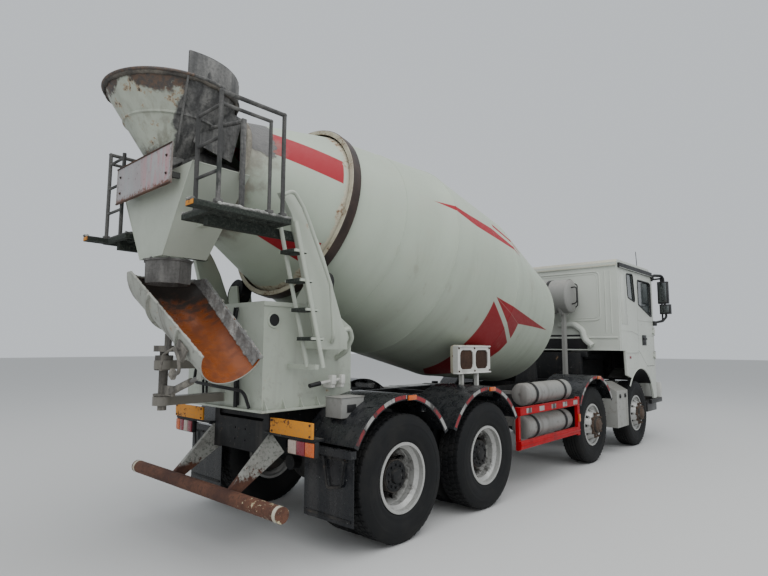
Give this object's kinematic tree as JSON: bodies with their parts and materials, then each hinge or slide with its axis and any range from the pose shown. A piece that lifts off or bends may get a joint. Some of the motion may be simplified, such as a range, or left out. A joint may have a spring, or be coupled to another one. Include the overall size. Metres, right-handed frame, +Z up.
{
  "type": "concrete mixer truck",
  "caption": "Four-axle concrete mixer truck: tilting cab, steered front axles, twin rear wheels, sloping rotating drum, charging hopper, swinging discharge chute and rear platforms.",
  "frame": {"origin": "on the floor, at the middle of the length and width", "axes": "+X forward along the truck, +Y to its left, +Z up"},
  "size_m": [9.865, 2.91, 3.96],
  "materials": {
    "black_steel": "satin, dusty",
    "grey_iron": "rough",
    "white_paint": "satin, weathered",
    "cab_paint": "gloss, weathered",
    "red_paint": "satin, worn",
    "grey_paint": "satin",
    "black_plastic": "grained",
    "rusty_steel": "rusty, scaled",
    "chute_steel": "orange primer and rust, scraped",
    "ring_steel": "greased and rusty",
    "lamp_plastic": "amber and red lenses",
    "concrete_grey": "crusted with concrete",
    "rim_paint": "silver, dusty",
    "tyre_rubber": "dusty",
    "dark_glass": "tinted"
  },
  "bodies": {
    "root": {"frame": "black_steel", "subframe": "black_steel", "springs": "black_steel", "steer_axles": "black_steel", "drive_axles": "black_steel", "powertrain": "grey_iron", "front_bumper": "cab_paint", "mudguards": "black_plastic", "side_guards": "red_paint", "air_tanks": "grey_paint", "fuel_tank": "grey_paint", "step_boxes": "grey_paint", "underrun_bar": "rusty_steel", "rear_lamps": "lamp_plastic", "drum_drive": "black_steel", "water_tank": "grey_paint", "rear_pedestal": "white_paint", "platforms": "black_steel", "ladder": "concrete_grey", "number_board": "white_paint", "discharge_funnel": "white_paint", "charging_hopper": "concrete_grey"},
    "drum_body": {"drum": "white_paint", "drum_ring": "ring_steel", "drum_hatch": "white_paint"},
    "roller_right_body": {"roller_right": "black_steel"},
    "roller_left_body": {"roller_left": "black_steel"},
    "swivel_body": {"chute_swivel": "rusty_steel"},
    "chute_body": {"chute": "chute_steel"},
    "jack_body": {"chute_jack": "rusty_steel"},
    "rod_body": {"chute_rod": "rusty_steel"},
    "cab_body": {"cab_shell": "cab_paint", "cab_glass": "dark_glass", "cab_inside": "black_plastic", "cab_grille": "black_plastic", "mirrors": "black_plastic"},
    "door_right_body": {"door_right": "cab_paint", "door_glass_right": "dark_glass"},
    "door_left_body": {"door_left": "cab_paint", "door_glass_left": "dark_glass"},
    "knuckle_1r_body": {"knuckle_1r": "black_steel"},
    "knuckle_1l_body": {"knuckle_1l": "black_steel"},
    "knuckle_2r_body": {"knuckle_2r": "black_steel"},
    "knuckle_2l_body": {"knuckle_2l": "black_steel"},
    "wheel_1r_body": {"tyre_1r": "tyre_rubber", "rim_1r": "rim_paint"},
    "wheel_1l_body": {"tyre_1l": "tyre_rubber", "rim_1l": "rim_paint"},
    "wheel_2r_body": {"tyre_2r": "tyre_rubber", "rim_2r": "rim_paint"},
    "wheel_2l_body": {"tyre_2l": "tyre_rubber", "rim_2l": "rim_paint"},
    "wheel_3r_body": {"tyre_3r": "tyre_rubber", "rim_3r": "rim_paint"},
    "wheel_3l_body": {"tyre_3l": "tyre_rubber", "rim_3l": "rim_paint"},
    "wheel_4r_body": {"tyre_4r": "tyre_rubber", "rim_4r": "rim_paint"},
    "wheel_4l_body": {"tyre_4l": "tyre_rubber", "rim_4l": "rim_paint"}
  },
  "joints": [
    {"name": "steer_1r", "type": "hinge", "parent": "root", "child": "knuckle_1r_body", "pos_m": [3.5325, -0.87, 0.5425], "axis": [0, 0, 1], "range_deg": [-35, 35]},
    {"name": "steer_1l", "type": "hinge", "parent": "root", "child": "knuckle_1l_body", "pos_m": [3.5325, 0.87, 0.5425], "axis": [0, 0, 1], "range_deg": [-35, 35]},
    {"name": "steer_2r", "type": "hinge", "parent": "root", "child": "knuckle_2r_body", "pos_m": [1.5825, -0.87, 0.5425], "axis": [0, 0, 1], "range_deg": [-23, 23]},
    {"name": "steer_2l", "type": "hinge", "parent": "root", "child": "knuckle_2l_body", "pos_m": [1.5825, 0.87, 0.5425], "axis": [0, 0, 1], "range_deg": [-23, 23]},
    {"name": "wheel_1r", "type": "hinge", "parent": "knuckle_1r_body", "child": "wheel_1r_body", "pos_m": [3.5325, -1.038, 0.5425], "axis": [0, 1, 0], "continuous": true},
    {"name": "wheel_1l", "type": "hinge", "parent": "knuckle_1l_body", "child": "wheel_1l_body", "pos_m": [3.5325, 1.038, 0.5425], "axis": [0, 1, 0], "continuous": true},
    {"name": "wheel_2r", "type": "hinge", "parent": "knuckle_2r_body", "child": "wheel_2r_body", "pos_m": [1.5825, -1.038, 0.5425], "axis": [0, 1, 0], "continuous": true},
    {"name": "wheel_2l", "type": "hinge", "parent": "knuckle_2l_body", "child": "wheel_2l_body", "pos_m": [1.5825, 1.038, 0.5425], "axis": [0, 1, 0], "continuous": true},
    {"name": "wheel_3r", "type": "hinge", "parent": "root", "child": "wheel_3r_body", "pos_m": [-1.4175, -1.095, 0.5425], "axis": [0, 1, 0], "continuous": true},
    {"name": "wheel_3l", "type": "hinge", "parent": "root", "child": "wheel_3l_body", "pos_m": [-1.4175, 1.095, 0.5425], "axis": [0, 1, 0], "continuous": true},
    {"name": "wheel_4r", "type": "hinge", "parent": "root", "child": "wheel_4r_body", "pos_m": [-2.7675, -1.095, 0.5425], "axis": [0, 1, 0], "continuous": true},
    {"name": "wheel_4l", "type": "hinge", "parent": "root", "child": "wheel_4l_body", "pos_m": [-2.7675, 1.095, 0.5425], "axis": [0, 1, 0], "continuous": true},
    {"name": "drum_spin", "type": "hinge", "parent": "root", "child": "drum_body", "pos_m": [-3.0675, 0, 3.02], "axis": [0.9724, 0, -0.2334], "continuous": true},
    {"name": "roller_right_spin", "type": "hinge", "parent": "root", "child": "roller_right_body", "pos_m": [-3.25795, -0.63739, 2.22671], "axis": [0.9724, 0, -0.2334], "continuous": true},
    {"name": "roller_left_spin", "type": "hinge", "parent": "root", "child": "roller_left_body", "pos_m": [-3.25795, 0.63739, 2.22671], "axis": [0.9724, 0, -0.2334], "continuous": true},
    {"name": "chute_swing", "type": "hinge", "parent": "root", "child": "swivel_body", "pos_m": [-4.3575, 0, 1.6], "axis": [0, 0, 1], "range_deg": [-170, 5]},
    {"name": "chute_tilt", "type": "hinge", "parent": "swivel_body", "child": "chute_body", "pos_m": [-4.35227, -0.14991, 1.74], "axis": [-0.9994, -0.0349, 0], "range_deg": [-4, 18]},
    {"name": "jack_tilt", "type": "hinge", "parent": "swivel_body", "child": "jack_body", "pos_m": [-4.35227, -0.14991, 1.31], "axis": [-0.9994, -0.0349, 0], "range_deg": [-20, 30]},
    {"name": "jack_stroke", "type": "slide", "parent": "jack_body", "child": "rod_body", "axis": [0.0333, -0.9523, 0.3032], "range_m": [-0.06, 0.16]},
    {"name": "cab_tilt", "type": "hinge", "parent": "root", "child": "cab_body", "pos_m": [4.6825, 0, 1.11], "axis": [0, 1, 0], "range_deg": [0, 50]},
    {"name": "door_right_swing", "type": "hinge", "parent": "cab_body", "child": "door_right_body", "pos_m": [4.5565, -1.217, 1.74], "axis": [0, 0, 1], "range_deg": [0, 70]},
    {"name": "door_left_swing", "type": "hinge", "parent": "cab_body", "child": "door_left_body", "pos_m": [4.5565, 1.217, 1.74], "axis": [0, 0, 1], "range_deg": [-70, 0]}
  ],
  "couplings": [
    {"joint": "steer_1l", "follows": "steer_1r", "ratio": 1},
    {"joint": "steer_2r", "follows": "steer_1r", "ratio": 0.65},
    {"joint": "steer_2l", "follows": "steer_1r", "ratio": 0.65},
    {"joint": "roller_right_spin", "follows": "drum_spin", "ratio": -6.9615},
    {"joint": "roller_left_spin", "follows": "drum_spin", "ratio": -6.9615},
    {"joint": "jack_tilt", "follows": "chute_tilt", "ratio": 0.69},
    {"joint": "jack_stroke", "follows": "chute_tilt", "m_per_rad": 0.38}
  ]
}
